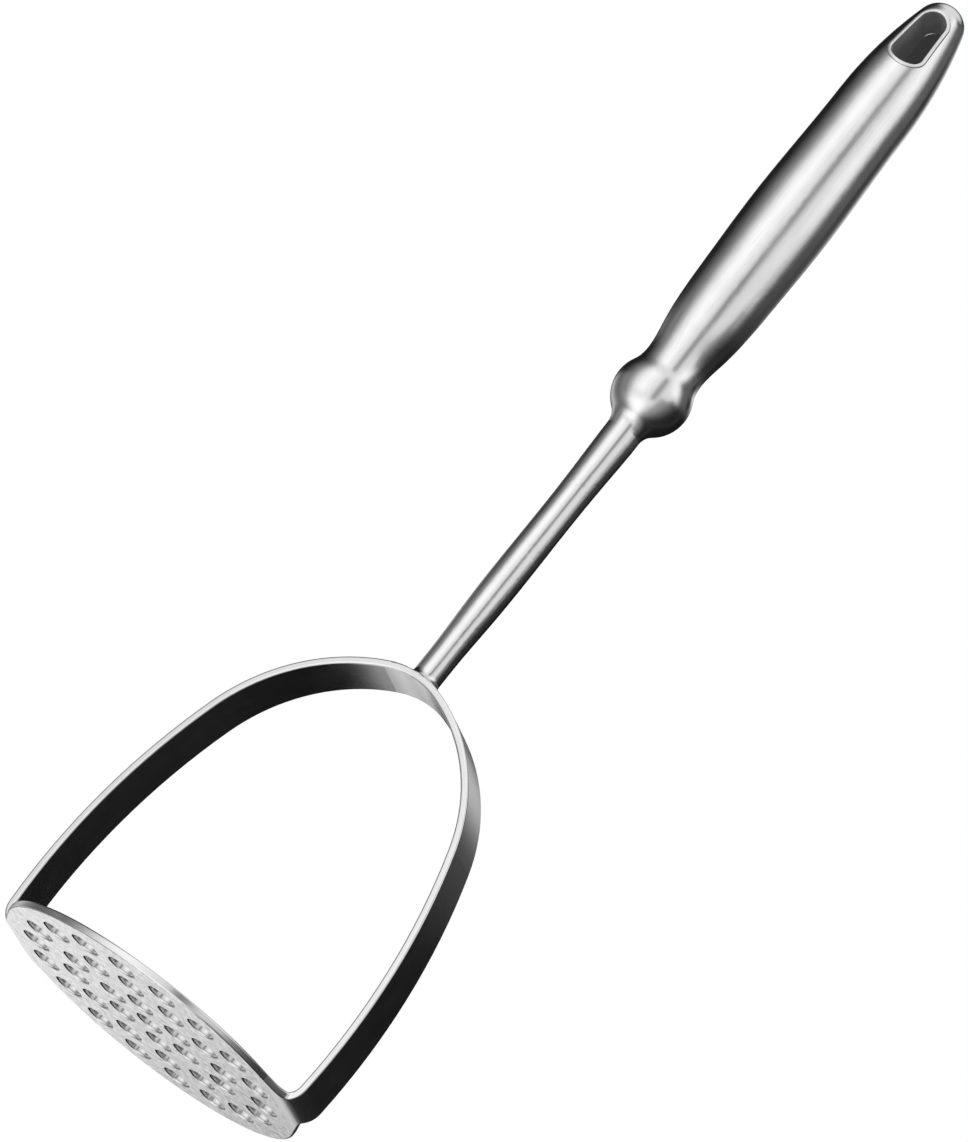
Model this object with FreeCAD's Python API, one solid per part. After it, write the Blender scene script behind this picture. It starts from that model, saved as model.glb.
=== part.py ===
"""Stainless steel potato masher, in millimetres.

The masher stands on its perforated plate, with the handle up along +Z. The
origin is the centre of the plate's underside. The yoke arches over the plate
in the XZ plane, and -Y is the front.
"""
import FreeCAD, Part
import os
from math import acos, asin, atan2, cos, degrees, hypot, radians, sin, sqrt, tan

V = FreeCAD.Vector
UP = V(0, 0, 1)
ORIGIN = V(0, 0, 0)

# ---- Sheet that the plate and the yoke are cut from ----
sheet_thickness = 1.7
edge_round = 0.45            # every outline edge is rounded over and polished

# ---- Mashing plate ----
plate_radius = 37.4
hole_radius = 3.2
hole_edge_round = 0.35
rim_land = 4.0               # least width left between the outer holes and the rim
ring_pitch = 9.9
ring_start = 35.6            # degrees: the ray on which every ring has a hole

# ---- Yoke: a flat strap bent to an arch, with its feet turned in ----
strap_width = 12.0
yoke_height = 92.7           # underside of the plate to the top of the crown
yoke_overhang = 4.0          # how far the arms stand out past the plate's rim
widest_height = 15.9         # where the arms are furthest apart
crown_radius = 20.5
crown_half_angle = 20.2      # degrees of the crown arc, each side
side_start = 71.7            # degrees: where the shoulder arc gives way to the side arc
foot_bend_radius = 5.0       # outside of the bend at each foot
foot_corner_radius = 0.8     # concave corner, in plan, where a flared foot meets the strap
foot_weld_width = 0.8
foot_weld_setback = 2.8      # from the plate's rim in to the weld
foot_toe_setback = 4.8       # from the plate's rim in to where the outline of a foot begins

# ---- Neck rod and its weld on the crown ----
rod_length = 67.5            # crown to the shoulder that the handle sits on
rod_waist_radius = 3.25      # ground down just above the weld
rod_waist_height = 6.0
rod_low_radius = 3.65
rod_low_height = 20.0
rod_high_radius = 3.72
rod_high_height = 52.0
crown_weld_radius = 2.2      # fillet between the rod and the crown, at most
tang_radius = 2.8
tang_length = 24.0

# ---- Handle: two pressed half shells; heights run along it from the rod's shoulder ----
handle_lean = 1.6            # degrees that the handle leans to the front
handle_length = 123.3
shell_wall = 1.0
collar_radius = 4.1          # where the handle meets the rod
collar_blend = 4.5           # concave blend from the collar to the ball
ball_height = 13.0
ball_radius = 8.88
ball_exit = 27.0             # degrees above the ball's equator where the grip leaves it
waist_height = 20.6
waist_radius = 7.05
swell_height = 28.5
swell_radius = 7.95
bulge_height = 44.0
bulge_radius = 9.08
palm_height = 63.0
palm_radius = 9.55
end_length = 30.3            # rounded end, from the heel to the tip
heel_radius = 8.95           # where the rounded end begins
tip_radius = 5.6

# ---- Bolster plug: holds the tang inside the ball ----
plug_length = 10.0
plug_gap = 0.05

# ---- Hang hole and the sleeve that lines it ----
hole_turn = 11.0             # degrees that the hang hole is turned from the front
hang_hole_margin = 4.6       # from the top of the hole to the tip
hang_hole_length = 14.8
hang_hole_half_width = 3.75  # at its wide lower end
hang_hole_corner = 2.6
hang_hole_sole_radius = 5.2  # shallow arc that closes the lower end
hang_hole_top_radius = 3.1
sleeve_wall = 0.85
sleeve_proud = 0.3
sleeve_gap = 0.05
lip_round = 0.3

# ---- Values that follow ----
yoke_half_width = plate_radius + yoke_overhang
strap_half = strap_width / 2
shoulder_z = yoke_height + rod_length
toe_x = plate_radius - foot_toe_setback
weld_inner_x = plate_radius - foot_weld_setback
weld_outer_x = weld_inner_x + foot_weld_width
hole_rings = int((plate_radius - rim_land - hole_radius) / ring_pitch)
weld_fillet = min(crown_weld_radius, strap_half - edge_round - rod_waist_radius)
heel_height = handle_length - end_length
hang_hole_height = handle_length - hang_hole_margin - hang_hole_length
clear = 1.0                  # how far cutting solids run past what they cut
parallel = 0.999             # cosine above which an edge counts as parallel to an axis
slant = 0.9                  # the same for the hang hole's edges, which are turned
touching = 0.01


# ---------------------------------------------------------------- helpers
def line(a, b):
    return Part.LineSegment(a, b).toShape()


def arc(a, mid, b):
    return Part.Arc(a, mid, b).toShape()


def box(low, high):
    size = high - low
    return Part.makeBox(size.x, size.y, size.z, low)


def mirror_x(shape):
    return shape.mirror(ORIGIN, V(1, 0, 0))


def revolve(edges, turn=360.0):
    """Revolve a closed outline in the XZ plane about Z."""
    return Part.Face(Part.Wire(edges)).revolve(ORIGIN, UP, turn)


def around(centre, radius, angle):
    """Point in XZ at an angle in degrees from straight up, towards +X."""
    a = radians(angle)
    return V(centre.x + radius * sin(a), 0, centre.z + radius * cos(a))


def profile(stations, first_slope, last_slope):
    """Smooth curve of radius against height through (height, radius) stations."""
    curve = Part.BSplineCurve()
    curve.interpolate(Points=[V(r, 0, z) for z, r in stations], Parameters=[z for z, r in stations],
                      InitialTangent=V(first_slope, 0, 1), FinalTangent=V(last_slope, 0, 1), Scale=False)
    return curve.toShape()


def write(name, shape):
    shape.exportStep("parts/%s.step" % name)


# ---------------------------------------------------------------- yoke
def yoke_arcs():
    """Outside arcs of the right half: (centre, radius, first angle, last angle)."""
    a1, a2 = radians(crown_half_angle), radians(side_start)
    run = yoke_half_width - crown_radius * sin(a1)
    drop = yoke_height - widest_height - crown_radius * (1 - cos(a1))
    m11, m12 = sin(a2) - sin(a1), 1 - sin(a2)
    m21, m22 = cos(a1) - cos(a2), cos(a2)
    det = m11 * m22 - m12 * m21
    shoulder_radius = (run * m22 - m12 * drop) / det
    side_radius = (m11 * drop - m21 * run) / det
    crown = V(0, 0, yoke_height - crown_radius)
    shoulder = around(crown, crown_radius - shoulder_radius, crown_half_angle)
    side = around(shoulder, shoulder_radius - side_radius, side_start)
    reach = side_radius - foot_bend_radius
    rise = foot_bend_radius - side.z
    bend = V(side.x + sqrt(reach ** 2 - rise ** 2), 0, foot_bend_radius)
    bend_start = degrees(acos(rise / reach))
    return [(crown, crown_radius, 0.0, crown_half_angle),
            (shoulder, shoulder_radius, crown_half_angle, side_start),
            (side, side_radius, side_start, bend_start),
            (bend, foot_bend_radius, bend_start, 180.0)]


def arc_edges(arcs, inset):
    edges = []
    for centre, radius, first, last in arcs:
        r = radius - inset
        middle = (first + last) / 2
        edges.append(arc(around(centre, r, first), around(centre, r, middle), around(centre, r, last)))
    return edges


def band(width):
    """Right half of the strap, from the crown down to the toe of its foot."""
    arcs = yoke_arcs()
    outer = arc_edges(arcs, 0)
    inner = arc_edges(arcs, sheet_thickness)
    bend_x = arcs[-1][0].x
    crown_top = V(0, 0, yoke_height)
    crown_low = V(0, 0, yoke_height - sheet_thickness)
    toe_low = V(toe_x, 0, 0)
    toe_top = V(toe_x, 0, sheet_thickness)
    ends = [line(V(bend_x, 0, 0), toe_low), line(toe_low, toe_top),
            line(toe_top, V(bend_x, 0, sheet_thickness)), line(crown_low, crown_top)]
    face = Part.Face(Part.Wire(Part.__sortEdges__(outer + inner + ends)))
    face.translate(V(0, -width / 2, 0))
    return face.extrude(V(0, width, 0))


def foot_outline():
    """Plan of one foot: straight flanks that run from the plate's rim in to the strap."""
    inner_bend_x = yoke_arcs()[-1][0].x + foot_bend_radius - sheet_thickness
    meet = V(inner_bend_x - foot_corner_radius, strap_half, 0)
    leave = atan2(meet.y, meet.x) + acos(plate_radius / meet.Length)
    on_rim = V(plate_radius * cos(leave), plate_radius * sin(leave), 0)
    run = foot_corner_radius * tan((radians(90) - leave) / 2)
    on_flank = meet + (on_rim - meet).normalize() * run
    on_strap = meet + V(run, 0, 0)
    corner = on_strap + V(0, foot_corner_radius, 0)
    middle = corner + (meet - corner).normalize() * foot_corner_radius
    outside = V(yoke_half_width + clear, strap_half, 0)
    rim_end = V(toe_x, sqrt(plate_radius ** 2 - toe_x ** 2), 0)
    half_way = (atan2(rim_end.y, rim_end.x) + leave) / 2
    rim_middle = V(plate_radius * cos(half_way), plate_radius * sin(half_way), 0)

    def flip(p):
        return V(p.x, -p.y, p.z)

    edges = [arc(rim_end, rim_middle, on_rim), line(on_rim, on_flank), arc(on_flank, middle, on_strap),
             line(on_strap, outside), line(outside, flip(outside)), line(flip(outside), flip(on_strap)),
             arc(flip(on_strap), flip(middle), flip(on_flank)), line(flip(on_flank), flip(on_rim)),
             arc(flip(on_rim), flip(rim_middle), flip(rim_end)), line(flip(rim_end), rim_end)]
    return Part.Face(Part.Wire(edges))


def frame_blank():
    """Plate and yoke in one, with their outline edges rounded; parted afterwards."""
    foot_prism = foot_outline().extrude(V(0, 0, foot_bend_radius))
    foot = band(2 * plate_radius).common(foot_prism)
    half = band(strap_width).fuse(foot)
    bend_x = yoke_arcs()[-1][0].x
    flat = box(V(-bend_x, -plate_radius, 0), V(bend_x, plate_radius, sheet_thickness))
    disc = Part.makeCylinder(plate_radius, sheet_thickness).common(flat)
    blank = disc.multiFuse([half, mirror_x(half)]).removeSplitter()
    edges = [e for e in blank.Edges if is_outline(e)]
    return blank.makeFillet(edge_round, edges)


def is_outline(edge):
    """True for an edge between a sheet's broad face and its cut edge."""
    p = edge.valueAt((edge.FirstParameter + edge.LastParameter) / 2)
    direction = edge.tangentAt((edge.FirstParameter + edge.LastParameter) / 2)
    upright = abs(direction.z) > parallel and p.z < foot_bend_radius
    across = abs(direction.y) > parallel
    return not (upright or across)


# ---------------------------------------------------------------- plate
def hole_centres():
    yield ORIGIN
    for ring in range(1, hole_rings + 1):
        count = 6 * ring
        for k in range(count):
            a = radians(ring_start + 360.0 * k / count)
            yield V(ring * ring_pitch * cos(a), ring * ring_pitch * sin(a), 0)


def hole_punch():
    """Solid that cuts one hole and rounds both of its edges."""
    r, e, t = hole_radius, hole_edge_round, sheet_thickness
    k = e * (1 - sqrt(0.5))
    low, top = V(r + e, 0, 0), V(r + e, 0, t)
    return revolve([line(V(0, 0, -clear), V(r + e, 0, -clear)), line(V(r + e, 0, -clear), low),
                    arc(low, V(r + k, 0, k), V(r, 0, e)), line(V(r, 0, e), V(r, 0, t - e)),
                    arc(V(r, 0, t - e), V(r + k, 0, t - k), top), line(top, V(r + e, 0, t + clear)),
                    line(V(r + e, 0, t + clear), V(0, 0, t + clear)),
                    line(V(0, 0, t + clear), V(0, 0, -clear))])


def slab(x_low, x_high):
    """Block that takes in the sheet at plate level between two x values."""
    return box(V(x_low, -2 * plate_radius, -clear), V(x_high, 2 * plate_radius, sheet_thickness + clear))


def make_plate(blank):
    punch = hole_punch()
    punches = [punch.translated(c) for c in hole_centres()]
    return blank.common(slab(-weld_inner_x, weld_inner_x)).cut(Part.makeCompound(punches))


def make_foot_welds(blank):
    right = blank.common(slab(weld_inner_x, weld_outer_x))
    left = blank.common(slab(-weld_outer_x, -weld_inner_x))
    return Part.makeCompound([right, left])


def make_yoke(blank):
    return blank.cut(slab(-weld_outer_x, weld_outer_x))


# ---------------------------------------------------------------- rod and crown weld
def lean(shape):
    """Lean a solid made upright on the rod's shoulder to the front, in place."""
    shape = shape.translated(V(0, 0, shoulder_z))
    return shape.rotated(V(0, 0, shoulder_z), V(1, 0, 0), handle_lean)


def crown_block():
    """Crown of the yoke with square edges, solid down to below the rod's foot."""
    centre = V(0, -strap_half, yoke_height - crown_radius)
    barrel = Part.makeCylinder(crown_radius, strap_width, centre, V(0, 1, 0))
    return barrel.common(box(V(-crown_radius, -strap_half, yoke_height - crown_radius / 2),
                             V(crown_radius, strap_half, yoke_height + clear)))


def make_rod():
    """Round rod with a ground waist, a shoulder and a tang; its foot fits the crown."""
    foot = yoke_height - clear
    stations = [(yoke_height + rod_waist_height, rod_waist_radius),
                (yoke_height + rod_low_height, rod_low_radius),
                (yoke_height + rod_high_height, rod_high_radius),
                (shoulder_z, collar_radius)]
    slope = (collar_radius - rod_high_radius) / (rod_length - rod_high_height)
    waist = V(rod_waist_radius, 0, yoke_height + rod_waist_height)
    shoulder = V(collar_radius, 0, shoulder_z)
    over = V(collar_radius, 0, shoulder_z + clear)
    bar = revolve([line(V(0, 0, foot), V(rod_waist_radius, 0, foot)),
                   line(V(rod_waist_radius, 0, foot), waist), profile(stations, 0, slope),
                   line(shoulder, over), line(over, V(0, 0, over.z)),
                   line(V(0, 0, over.z), V(0, 0, foot))])
    above = lean(box(V(-ball_radius, -ball_radius, 0), V(ball_radius, ball_radius, ball_radius)))
    tang = lean(Part.makeCylinder(tang_radius, tang_length + clear, V(0, 0, -clear)))
    return bar.cut(above).cut(crown_block()).fuse(tang).removeSplitter()


def make_crown_weld():
    """Fillet between the waist of the rod and the top of the crown."""
    block = crown_block()
    post = Part.makeCylinder(rod_waist_radius, rod_waist_height + clear,
                             V(0, 0, yoke_height - clear))
    joined = block.fuse(post)
    seam = [e for e in joined.Edges if on_seam(e)]
    weld = joined.makeFillet(weld_fillet, seam).cut(block).cut(post)
    return weld


def on_seam(edge):
    p = edge.valueAt((edge.FirstParameter + edge.LastParameter) / 2)
    near_top = yoke_height - clear < p.z < yoke_height + clear
    return near_top and abs(hypot(p.x, p.y) - rod_waist_radius) < touching


# ---------------------------------------------------------------- handle
def ball_point(angle, radius):
    """Point on the ball at an angle in degrees above its equator."""
    a = radians(angle)
    return V(radius * cos(a), 0, ball_height + radius * sin(a))


def grip_curve(inset):
    """From the ball to the tip: a spline to the heel, then two arcs that round the end."""
    start = ball_point(ball_exit, ball_radius - inset)
    heel = V(heel_radius - inset, 0, heel_height)
    stations = [(start.z, start.x + inset), (waist_height, waist_radius), (swell_height, swell_radius),
                (bulge_height, bulge_radius), (palm_height, palm_radius), (heel_height, heel_radius)]
    curve = profile([(z, r - inset) for z, r in stations], -tan(radians(ball_exit)), 0)
    tip_centre = V(0, 0, handle_length - tip_radius)
    rise = tip_centre.z - heel_height
    side_radius = (rise ** 2 + heel_radius ** 2 - tip_radius ** 2) / (2 * (heel_radius - tip_radius))
    side_centre = V(heel_radius - side_radius, 0, heel_height)
    turn = degrees(asin(rise / (side_radius - tip_radius)))
    side_r, tip_r = side_radius - inset, tip_radius - inset
    join = around(tip_centre, tip_r, 90 - turn)
    tip = around(tip_centre, tip_r, 0)
    side = arc(heel, around(side_centre, side_r, 90 - turn / 2), join)
    end = arc(join, around(tip_centre, tip_r, (90 - turn) / 2), tip)
    return [curve, side, end], start, tip


def outer_outline(inset):
    """Outside of the handle from its foot to the tip, and the two end points."""
    ball = ball_radius - inset
    foot = V(collar_radius - inset, 0, 0)
    offset = collar_radius - inset + collar_blend
    blend_z = ball_height - sqrt((ball + collar_blend) ** 2 - offset ** 2)
    centre = V(offset, 0, blend_z)
    low = V(collar_radius - inset, 0, blend_z)
    ball_centre = V(0, 0, ball_height)
    onto_ball = ball_centre + (centre - ball_centre) * (ball / (ball + collar_blend))
    inward = ((low - centre).normalize() + (onto_ball - centre).normalize()).normalize()
    grip, leave, tip = grip_curve(inset)
    edges = [line(foot, low), arc(low, centre + inward * collar_blend, onto_ball),
             arc(onto_ball, ball_point(0, ball), leave)]
    return edges + grip, foot, tip


def inner_outline():
    """Inside of the shells: the tang's bore, then the ball and grip less the wall."""
    bore = tang_radius + plug_gap
    ball = ball_radius - shell_wall
    entry = V(bore, 0, ball_height - sqrt(ball ** 2 - bore ** 2))
    grip, leave, tip = grip_curve(shell_wall)
    foot = V(bore, 0, 0)
    return [line(foot, entry), arc(entry, ball_point(0, ball), leave)] + grip, foot, tip


def solid_handle(inset):
    edges, foot, tip = outer_outline(inset)
    return revolve(edges + [line(tip, ORIGIN), line(ORIGIN, foot)])


def half_shell():
    """Hollow half of the handle on its -Y side."""
    outer, foot, tip = outer_outline(0)
    inner, inner_foot, inner_tip = inner_outline()
    ring = outer + [line(tip, inner_tip)] + inner + [line(inner_foot, foot)]
    shell = revolve(Part.__sortEdges__(ring), 180.0)
    return shell.rotated(ORIGIN, UP, 180.0)


def slot_face(grow):
    """Hang hole's outline in the XZ plane, grown outwards all round."""
    top = V(0, 0, hang_hole_height + hang_hole_length - hang_hole_top_radius)
    side = hang_hole_half_width - hang_hole_corner
    arch = hang_hole_sole_radius - hang_hole_corner
    sole = V(0, 0, hang_hole_height + hang_hole_sole_radius)
    corner = V(side, 0, sole.z - sqrt(arch ** 2 - side ** 2))
    spread = corner - top
    bearing = atan2(spread.z, spread.x) + acos((hang_hole_top_radius - hang_hole_corner) / spread.Length)
    out = V(cos(bearing), 0, sin(bearing))
    down = (corner - sole).normalize()
    top_r, corner_r = hang_hole_top_radius + grow, hang_hole_corner + grow
    on_top, on_side = top + out * top_r, corner + out * corner_r
    on_sole = corner + down * corner_r
    elbow = corner + (out + down).normalize() * corner_r
    lowest = V(0, 0, hang_hole_height - grow)

    def flip(p):
        return V(-p.x, p.y, p.z)

    edges = [arc(flip(on_top), top + UP * top_r, on_top), line(on_top, on_side),
             arc(on_side, elbow, on_sole), arc(on_sole, lowest, flip(on_sole)),
             arc(flip(on_sole), flip(elbow), flip(on_side)), line(flip(on_side), flip(on_top))]
    return Part.Face(Part.Wire(edges))


def slot_prism(grow):
    """Bar of the hang hole's outline, right through the handle and turned."""
    face = slot_face(grow)
    face.translate(V(0, -2 * palm_radius, 0))
    return face.extrude(V(0, 4 * palm_radius, 0)).rotated(ORIGIN, UP, hole_turn)


def make_shells():
    slot = slot_prism(sleeve_wall + sleeve_gap)
    front = half_shell()
    back = front.rotated(ORIGIN, UP, 180.0)
    return lean(front.cut(slot)), lean(back.cut(slot))


def make_sleeve():
    """Tube that lines the hang hole, with a rounded lip proud of both shells."""
    tube = solid_handle(-sleeve_proud).common(slot_prism(sleeve_wall)).cut(slot_prism(0))
    lips = [e for e in tube.Edges if abs(e.tangentAt(e.FirstParameter).y) < slant]
    lips = [e for e in lips if not is_through(e)]
    return lean(tube.makeFillet(lip_round, lips))


def is_through(edge):
    """True for an edge that runs through the hole from face to face."""
    return edge.Length > palm_radius and edge.Curve.TypeId == "Part::GeomLine"


def make_plug():
    """Turned plug in the ball that centres the tang."""
    bore = tang_radius + plug_gap
    ball = ball_radius - shell_wall - plug_gap
    half = plug_length / 2
    rim = sqrt(ball ** 2 - half ** 2)
    low, top = ball_height - half, ball_height + half
    return lean(revolve([line(V(bore, 0, low), V(rim, 0, low)),
                         arc(V(rim, 0, low), ball_point(0, ball), V(rim, 0, top)),
                         line(V(rim, 0, top), V(bore, 0, top)), line(V(bore, 0, top), V(bore, 0, low))]))


# ---------------------------------------------------------------- assembly
def main():
    os.makedirs("parts", exist_ok=True)
    blank = frame_blank()
    front, back = make_shells()
    pieces = {"mashing_plate": make_plate(blank), "yoke_strap": make_yoke(blank),
              "foot_welds": make_foot_welds(blank), "neck_rod": make_rod(),
              "crown_weld": make_crown_weld(), "bolster_plug": make_plug(),
              "handle_front_shell": front, "handle_back_shell": back,
              "hang_hole_sleeve": make_sleeve()}
    for name, shape in pieces.items():
        write(name, shape)


main()
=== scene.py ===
"""Looks for the stainless steel potato masher: materials, studio light and camera.

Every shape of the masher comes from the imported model. Metres, +Z up, the plate's underside on
z = 0. Angles are in degrees: those of the studio run anticlockwise, as seen from above, from the
camera's side of the masher, and rises are above the level.
"""
from math import cos, pi, radians, sin

import bpy
from mathutils import Matrix, Vector

# ---- Camera ----
VIEW_AZIMUTH = 28.66         # from the front (-Y) towards +X
VIEW_ELEVATION = -15.61      # the camera is below the level of what it looks at
VIEW_ROLL = 38.78
VIEW_DISTANCE = 1.4985
VIEW_AIM = Vector((-0.005975, 0.00113, 0.121195))
VIEW_LENS = 224.1            # mm
SENSOR_WIDTH = 36.0          # mm
VIEW_REACH = 50.0            # how far the camera sees

# ---- Steel ----
NOISE_LEVELS = (0.15, 0.25, 0.36)    # of the lines times the clouds: darkest, middle and lightest
ROUGHNESS_LEVELS = (0.15, 0.4)
ROUGHNESS_SHARES = (0.9, 1.12)       # of the roughness asked for, at those two levels
LINE_BUMP = 0.025
LINE_DEPTH = 0.0001
UPRIGHT_BLEND = (0.6, 0.95)  # upward part of a normal, from which a face counts as flat
FOOT_BLEND = (0.001, 0.005)  # heights between which the plate's look gives way to the strap's

# Lines to the metre along X, Y and Z
LENGTHWISE = (2600.0, 2600.0, 40.0)
ALONG_STRAP = (45.0, 2600.0, 45.0)
ALONG_PLATE = (60.0, 1900.0, 60.0)

# ---- Studio ----
ROOM_RADIUS = 0.9            # distance of the cards from the masher
ROOM_CENTRE = Vector((0.0, 0.0, 0.14))
CARD_COLUMNS, CARD_ROWS = 64, 24
SURROUND_ANGLES = (62, 298)  # round by way of the back
SURROUND_RISES = (-80, 76)
AMBIENT = 0.9                # world light on what isn't metal
LAMP_DISTANCE = 1.1
LAMP_SIDE = 1.0
FLOOR_RINGS = (0.02, 0.3, 1.2, 4.0)
FLOOR_TURNS = 96
FLOOR_DROP = 0.00005
FLOOR_GREY = 0.86

# ---- Dark card in the hang hole's far mouth: painted shade, seen through the hole and in the sleeve's metal ----
SHOULDER = 0.1602            # height of the rod's shoulder, which the handle leans from
HANDLE_LEAN = 1.6
HOLE_TURN = 11.0
HOLE_ENDS = ((0.1156, 0.0035), (0.1076, 0.0041))    # height along the handle and radius
HOLE_PAINTED_SHADE_DEPTH = 0.0062     # behind the handle's middle
HOLE_PAINTED_SHADE_STEPS = 24         # of each half circle
# grey of the painted shade in the hang hole: a dim glow, not a lamp
HOLE_PAINTED_SHADE_GREY = 0.034

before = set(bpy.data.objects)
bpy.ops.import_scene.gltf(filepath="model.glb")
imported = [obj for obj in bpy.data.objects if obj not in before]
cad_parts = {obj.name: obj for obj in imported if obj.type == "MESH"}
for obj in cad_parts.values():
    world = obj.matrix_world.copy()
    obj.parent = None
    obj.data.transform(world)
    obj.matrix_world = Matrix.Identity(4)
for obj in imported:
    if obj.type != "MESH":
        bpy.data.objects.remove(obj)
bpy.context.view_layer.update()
scene = bpy.context.scene


# ---------------------------------------------------------------- nodes
class Tree:
    """Adds the nodes of one node tree."""

    def __init__(self, tree):
        self.tree = tree
        tree.nodes.clear()

    def add(self, kind, inputs=None, **settings):
        """Adds a node. An input is a value, or the socket that it comes from."""
        node = self.tree.nodes.new(kind)
        for key, value in settings.items():
            setattr(node, key, value)
        for key, value in (inputs or {}).items():
            if isinstance(value, bpy.types.NodeSocket):
                self.tree.links.new(value, node.inputs[key])
            else:
                node.inputs[key].default_value = value
        return node


def new_material(name):
    material = bpy.data.materials.new(name)
    material.use_nodes = True
    return material, Tree(material.node_tree)


def grey(level):
    return (level, level, level, 1.0)


def ramp(t, value, stops):
    """Greys against a value: stops are (position, grey)."""
    node = t.add("ShaderNodeValToRGB", {"Fac": value})
    elements = node.color_ramp.elements
    while len(elements) > 1:
        elements.remove(elements[-1])
    elements[0].position = stops[0][0]
    elements[0].color = grey(stops[0][1])
    for position, level in stops[1:]:
        elements.new(position).color = grey(level)
    return node.outputs["Color"]


def map_range(t, value, inputs, **settings):
    return t.add("ShaderNodeMapRange", {"Value": value, **inputs}, **settings).outputs["Result"]


def maths(t, operation, a, b=0.0):
    return t.add("ShaderNodeMath", {0: a, 1: b}, operation=operation).outputs[0]


# ---------------------------------------------------------------- steel
def steel(name, shade, rough, grain, mottle, tone=0.04, walls=None, foot=None):
    """Stainless steel with fine lines, and clouds of which mottle fit in a metre.

    grain is the lines to the metre, and tone how far the shade varies. walls is the shade and
    roughness of upright faces, and foot that down at the plate, where they differ.
    """
    material, t = new_material(name)
    coords = t.add("ShaderNodeTexCoord")
    place = coords.outputs["Object"]
    lines_at = t.add("ShaderNodeMapping", {"Vector": place, "Scale": grain}).outputs["Vector"]
    lines = t.add("ShaderNodeTexNoise", {"Vector": lines_at, "Scale": 1.0, "Detail": 4.0,
                                        "Roughness": 0.6}).outputs["Fac"]
    clouds = t.add("ShaderNodeTexNoise", {"Vector": place, "Scale": mottle, "Detail": 3.0,
                                         "Roughness": 0.5}).outputs["Fac"]
    both = maths(t, "MULTIPLY", lines, clouds)
    darkest, middle, lightest = NOISE_LEVELS
    colour = ramp(t, both, [(darkest, shade * (1 - tone)), (middle, shade),
                            (lightest, shade * (1 + tone))])
    roughness = map_range(t, both, {"From Min": ROUGHNESS_LEVELS[0], "From Max": ROUGHNESS_LEVELS[1],
                                    "To Min": rough * ROUGHNESS_SHARES[0],
                                    "To Max": rough * ROUGHNESS_SHARES[1]})

    def give_way(share, other):
        """Where share is 0, the steel has the other shade and roughness."""
        blended = map_range(t, share, {"To Min": other[1], "To Max": roughness})
        mixed = t.add("ShaderNodeMixRGB", {"Fac": share, "Color1": grey(other[0]), "Color2": colour})
        return blended, mixed.outputs["Color"]

    # upright faces get their own shade: on the plate it is darker, partly the sheared hole walls' own
    # steel and partly painted shade for the dark in the holes
    if walls:
        upward = t.add("ShaderNodeSeparateXYZ", {"Vector": coords.outputs["Normal"]}).outputs["Z"]
        flat = map_range(t, maths(t, "ABSOLUTE", upward), {"From Min": UPRIGHT_BLEND[0],
                                                           "From Max": UPRIGHT_BLEND[1]})
        roughness, colour = give_way(flat, walls)
    if foot:
        height = t.add("ShaderNodeSeparateXYZ", {"Vector": place}).outputs["Z"]
        above = map_range(t, height, {"From Min": FOOT_BLEND[0], "From Max": FOOT_BLEND[1]})
        roughness, colour = give_way(above, foot)
    bump = t.add("ShaderNodeBump", {"Height": lines, "Strength": LINE_BUMP, "Distance": LINE_DEPTH})
    shader = t.add("ShaderNodeBsdfPrincipled", {"Base Color": colour, "Metallic": 1.0,
                                               "Roughness": roughness, "Normal": bump.outputs["Normal"]})
    t.add("ShaderNodeOutputMaterial", {"Surface": shader.outputs["BSDF"]})
    return material


def dress_pieces():
    # the plate's upright faces, its hole walls and rim, are darker: partly their own sheared steel,
    # partly painted shade
    plate = steel("plate_steel", 0.75, 0.3, ALONG_PLATE, 700.0, 0.3, walls=(0.66, 0.18))
    strap = steel("strap_steel", 0.7, 0.2, ALONG_STRAP, 180.0, foot=(0.78, 0.3))
    rod = steel("rod_steel", 0.7, 0.2, LENGTHWISE, 180.0)
    handle = steel("handle_steel", 0.7, 0.22, LENGTHWISE, 120.0)
    looks = {
        "mashing_plate": plate,
        "foot_welds": plate,
        "yoke_strap": strap,
        "crown_weld": rod,
        "neck_rod": rod,
        "handle_front_shell": handle,
        "handle_back_shell": handle,
        "hang_hole_sleeve": steel("sleeve_steel", 0.76, 0.48, LENGTHWISE, 180.0),
        "bolster_plug": steel("inner_steel", 0.55, 0.4, LENGTHWISE, 180.0),
    }
    for node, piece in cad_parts.items():
        for slot in piece.material_slots:
            slot.material = looks[node]


dress_pieces()


# ---------------------------------------------------------------- studio
def towards(angle, rise):
    """Direction out from the masher, at an angle round it and a rise."""
    a = radians(VIEW_AZIMUTH - 90 + angle)
    return Vector((cos(a) * cos(radians(rise)), sin(a) * cos(radians(rise)), sin(radians(rise))))


def stage_piece(name, points, faces):
    mesh = bpy.data.meshes.new(name)
    mesh.from_pydata(points, [], faces)
    piece = bpy.data.objects.new(name, mesh)
    scene.collection.objects.link(piece)
    return piece


def only_glossy(piece):
    piece.visible_camera = False
    piece.visible_diffuse = False
    piece.visible_transmission = False
    piece.visible_shadow = False
    piece.visible_volume_scatter = False


def one_sided(t, front):
    """Surface that is clear from behind."""
    clear = t.add("ShaderNodeBsdfTransparent")
    behind = t.add("ShaderNodeNewGeometry").outputs["Backfacing"]
    mixed = t.add("ShaderNodeMixShader", {0: behind, 1: front.outputs[0], 2: clear.outputs[0]})
    t.add("ShaderNodeOutputMaterial", {"Surface": mixed.outputs[0]})


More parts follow.
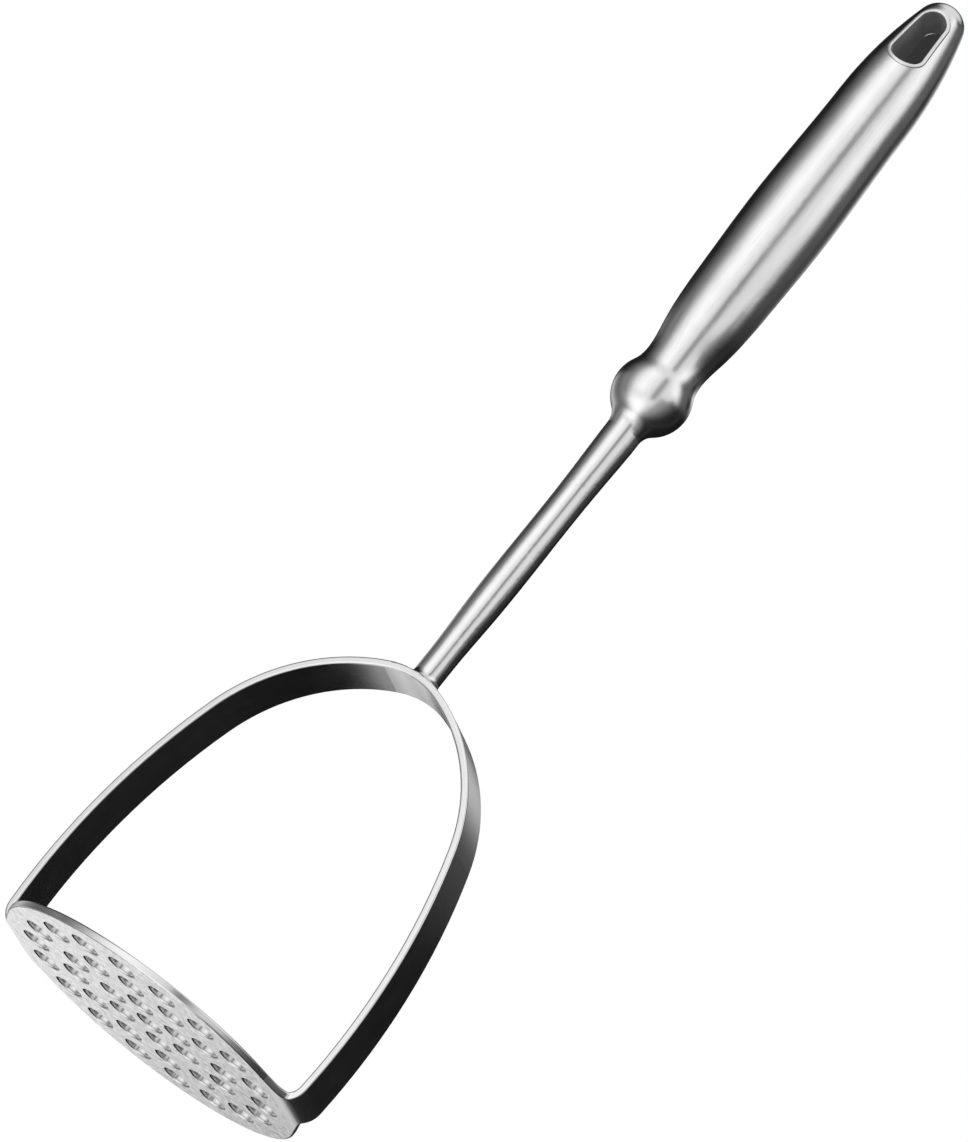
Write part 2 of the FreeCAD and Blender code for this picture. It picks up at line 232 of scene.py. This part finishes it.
def card_material(name, greys, top, bottom, fade, white_round):
    material, t = new_material(name)
    run = t.add("ShaderNodeTexCoord").outputs["UV"]
    run = t.add("ShaderNodeSeparateXYZ", {"Vector": run})
    along, height = run.outputs["X"], run.outputs["Y"]
    faded = {"From Min": -fade, "From Max": fade}
    past_top = map_range(t, maths(t, "SUBTRACT", height, ramp(t, along, top)), faded,
                         interpolation_type="SMOOTHSTEP")
    past_bottom = map_range(t, maths(t, "SUBTRACT", ramp(t, along, bottom), height), faded,
                            interpolation_type="SMOOTHSTEP")
    outside = maths(t, "MAXIMUM", past_top, past_bottom)
    glow = t.add("ShaderNodeEmission", {"Color": ramp(t, along, greys), "Strength": 1.0})
    if white_round:
        rest = t.add("ShaderNodeEmission", {"Color": grey(1.0), "Strength": 1.0})
    else:
        rest = t.add("ShaderNodeBsdfTransparent")
    mixed = t.add("ShaderNodeMixShader", {0: outside, 1: glow.outputs[0], 2: rest.outputs[0]})
    t.add("ShaderNodeOutputMaterial", {"Surface": mixed.outputs[0]})
    return material


def card(name, angles, rises, greys, top, bottom, fade, reach=ROOM_RADIUS, white_round=True):
    """Curved card round the masher, seen only in its metal.

    greys, top and bottom are stops along the card, from its first angle (0) to its last (1). top
    and bottom are the heights, from its first rise (0) to its last (1), where it gives way to
    white, or to what is behind it. fade is half the height that this takes.
    """
    points, runs, faces = [], [], []
    for i in range(CARD_COLUMNS + 1):
        for j in range(CARD_ROWS + 1):
            along, up = i / CARD_COLUMNS, j / CARD_ROWS
            angle = angles[0] + (angles[1] - angles[0]) * along
            rise = rises[0] + (rises[1] - rises[0]) * up
            points.append(ROOM_CENTRE + towards(angle, rise) * reach)
            runs.append((along, up))
    for i in range(CARD_COLUMNS):
        for j in range(CARD_ROWS):
            a = i * (CARD_ROWS + 1) + j
            faces.append((a, a + 1, a + CARD_ROWS + 2, a + CARD_ROWS + 1))
    piece = stage_piece(name, points, faces)
    mesh = piece.data
    layer = mesh.uv_layers.new(name="run")
    for loop in mesh.loops:
        layer.data[loop.index].uv = runs[loop.vertex_index]
    mesh.materials.append(card_material(name + "_grey", greys, top, bottom, fade, white_round))
    only_glossy(piece)


def shade_at(angle, level):
    """Stop of the surround card's greys."""
    return ((angle - SURROUND_ANGLES[0]) / (SURROUND_ANGLES[1] - SURROUND_ANGLES[0]), level)


def at(angle, rise):
    """Stop of the surround card's top or bottom."""
    return shade_at(angle, (rise - SURROUND_RISES[0]) / (SURROUND_RISES[1] - SURROUND_RISES[0]))


def make_cards():
    card("surround", SURROUND_ANGLES, SURROUND_RISES,
         [shade_at(62, 1.0), shade_at(70, 0.6), shade_at(79, 0.17), shade_at(90, 0.05),
          shade_at(106, 0.04), shade_at(122, 0.01), shade_at(180, 0.004), shade_at(236, 0.012),
          shade_at(256, 0.1), shade_at(274, 0.26), shade_at(286, 0.52), shade_at(298, 1.0)],
         [at(62, 75), at(110, 62), at(205, 58), at(298, 75)],
         [at(62, -79), at(128, -79), at(142, -52), at(158, -40), at(164, -34), at(172, -25),
          at(180, -17), at(185, 2), at(194, 0), at(206, -14), at(222, -34), at(236, -79),
          at(298, -79)],
         fade=0.06)
    card("lens_card", (-4, 22), (-46, 60),
         [(0.0, 0.9), (0.12, 0.45), (0.3, 0.24), (0.5, 0.36), (0.72, 0.75), (1.0, 1.0)],
         [(0.0, 0.94)], [(0.0, 0.22)], fade=0.08, reach=0.88)
    card("low_card", (6, 62), (-80, 22),
         [(0.0, 1.0), (0.14, 0.62), (0.3, 0.5), (0.55, 0.36), (0.8, 0.24), (1.0, 0.1)],
         [(0.0, 0.74), (0.6, 0.8), (0.85, 0.92), (1.0, 0.95)], [(0.0, 0.0)], fade=0.06)
    card("side_card", (60, 112), (-84, 22),
         [(0.0, 0.12), (0.2, 0.06), (0.4, 0.02), (0.7, 0.012), (1.0, 0.03)],
         [(0.0, 0.93)], [(0.0, 0.0)], fade=0.05, reach=0.85, white_round=False)
    card("left_glow", (-62, -5), (-30, 62),
         [(0.0, 1.0), (0.2, 1.3), (0.45, 1.42), (0.75, 1.15), (1.0, 1.0)],
         [(0.0, 0.9)], [(0.0, 0.1)], fade=0.1)
    card("right_glow", (24, 66), (14, 74),
         [(0.0, 1.0), (0.3, 1.22), (0.6, 1.36), (0.85, 1.2), (1.0, 1.0)],
         [(0.0, 0.9)], [(0.0, 0.16)], fade=0.12, reach=0.84, white_round=False)
    card("low_glow", (-120, 30), (-90, -10),
         [(0.0, 0.1), (0.2, 0.5), (0.36, 1.3), (0.5, 1.5), (0.7, 1.5), (0.84, 1.1), (1.0, 0.4)],
         [(0.0, 0.68)], [(0.0, 0.0)], fade=0.22, reach=0.8, white_round=False)
    card("back_glow", (112, 200), (10, 46),
         [(0.0, 0.01), (0.11, 0.015), (0.23, 0.06), (0.34, 0.26), (0.45, 0.85), (0.57, 1.1),
          (0.68, 1.1), (0.82, 0.6), (1.0, 0.01)],
         [(0.0, 0.8)], [(0.0, 0.42)], fade=0.18, reach=0.8, white_round=False)
    card("side_glow", (84, 148), (10, 62),
         [(0.0, 0.12), (0.3, 0.13), (0.7, 0.12), (1.0, 0.05)],
         [(0.0, 0.88)], [(0.0, 0.2)], fade=0.12, reach=0.83, white_round=False)
    card("rear_card", (190, 266), (-74, 20),
         [(0.0, 0.02), (0.14, 0.4), (0.28, 0.7), (0.45, 0.3), (0.65, 0.15), (0.85, 0.22),
          (1.0, 0.32)],
         [(0.0, 0.93)], [(0.0, 0.1)], fade=0.06, reach=0.8, white_round=False)


def make_hole_painted_shade():
    """Dark card in the hang hole's far mouth: painted shade, a dimly glowing sheet seen through the hole
    from the front and in the sleeve's metal.
    """
    (top, top_radius), (low, low_radius) = HOLE_ENDS
    turns = [pi * i / HOLE_PAINTED_SHADE_STEPS for i in range(HOLE_PAINTED_SHADE_STEPS + 1)]
    points = [(top_radius * cos(a), HOLE_PAINTED_SHADE_DEPTH, top + top_radius * sin(a)) for a in turns]
    points += [(-low_radius * cos(a), HOLE_PAINTED_SHADE_DEPTH, low - low_radius * sin(a)) for a in turns]
    piece = stage_piece("hole_painted_shade", points, [tuple(range(len(points)))])
    lean = Matrix.Rotation(radians(HANDLE_LEAN), 4, "X")
    turn = Matrix.Rotation(radians(HOLE_TURN), 4, "Z")
    piece.matrix_world = Matrix.Translation((0, 0, SHOULDER)) @ lean @ turn
    piece.visible_shadow = False
    # painted shade: a dark emission, clear from behind
    material, t = new_material("hole_painted_shade_grey")
    one_sided(t, t.add("ShaderNodeEmission", {"Color": grey(HOLE_PAINTED_SHADE_GREY), "Strength": 1.0}))
    piece.data.materials.append(material)


def make_floor():
    """Pale floor under the masher, which takes its shadow.

    The masher's metal looks past it to the studio's white.
    """
    points, faces = [], []
    for radius in FLOOR_RINGS:
        for i in range(FLOOR_TURNS):
            a = 2 * pi * i / FLOOR_TURNS
            points.append((radius * cos(a), radius * sin(a), -FLOOR_DROP))
    for ring in range(len(FLOOR_RINGS) - 1):
        for i in range(FLOOR_TURNS):
            a, b = ring * FLOOR_TURNS + i, ring * FLOOR_TURNS + (i + 1) % FLOOR_TURNS
            faces.append((a, a + FLOOR_TURNS, b + FLOOR_TURNS, b))
    faces.append(tuple(range(FLOOR_TURNS)))
    piece = stage_piece("floor", points, faces)
    piece.visible_glossy = False
    piece.visible_shadow = False
    material, t = new_material("floor_white")
    one_sided(t, t.add("ShaderNodeBsdfDiffuse", {"Color": grey(FLOOR_GREY)}))
    piece.data.materials.append(material)


def lamp(name, angle, rise, watts):
    """Square lamp that faces the masher. Its metal shows the cards instead."""
    data = bpy.data.lights.new(name, "AREA")
    data.size = LAMP_SIDE
    data.energy = watts
    piece = bpy.data.objects.new(name, data)
    piece.location = ROOM_CENTRE + towards(angle, rise) * LAMP_DISTANCE
    piece.rotation_euler = (ROOM_CENTRE - piece.location).to_track_quat("-Z", "Y").to_euler()
    scene.collection.objects.link(piece)
    piece.visible_glossy = False


def make_world():
    """White where it is seen, straight or in the metal, and AMBIENT where it only lights."""
    world = bpy.data.worlds.new("studio")
    scene.world = world
    world.use_nodes = True
    t = Tree(world.node_tree)
    path = t.add("ShaderNodeLightPath").outputs
    seen = maths(t, "ADD", path["Is Camera Ray"], path["Is Glossy Ray"])
    seen = t.add("ShaderNodeMath", {0: seen, 1: path["Is Transmission Ray"]}, operation="ADD",
                 use_clamp=True).outputs[0]
    level = map_range(t, seen, {"To Min": AMBIENT, "To Max": 1.0})
    sky = t.add("ShaderNodeBackground", {"Color": grey(1.0), "Strength": level})
    t.add("ShaderNodeOutputWorld", {"Surface": sky.outputs["Background"]})


make_cards()
make_hole_painted_shade()
lamp("left_softbox", -40, 40, 1.5)
lamp("right_softbox", 40, 40, 1.2)
make_world()
make_floor()


# ---------------------------------------------------------------- camera
def make_camera():
    data = bpy.data.cameras.new("camera")
    data.lens = VIEW_LENS
    data.sensor_width = SENSOR_WIDTH
    data.clip_end = VIEW_REACH
    back = towards(0, VIEW_ELEVATION)
    side = Vector((0, 0, 1)).cross(back).normalized()
    up = back.cross(side)
    roll = Matrix.Rotation(radians(VIEW_ROLL), 3, back)
    axes = Matrix((roll @ side, roll @ up, back)).transposed()
    piece = bpy.data.objects.new("camera", data)
    piece.matrix_world = Matrix.Translation(VIEW_AIM + back * VIEW_DISTANCE) @ axes.to_4x4()
    scene.collection.objects.link(piece)
    scene.camera = piece


make_camera()
scene.view_settings.view_transform = "Standard"
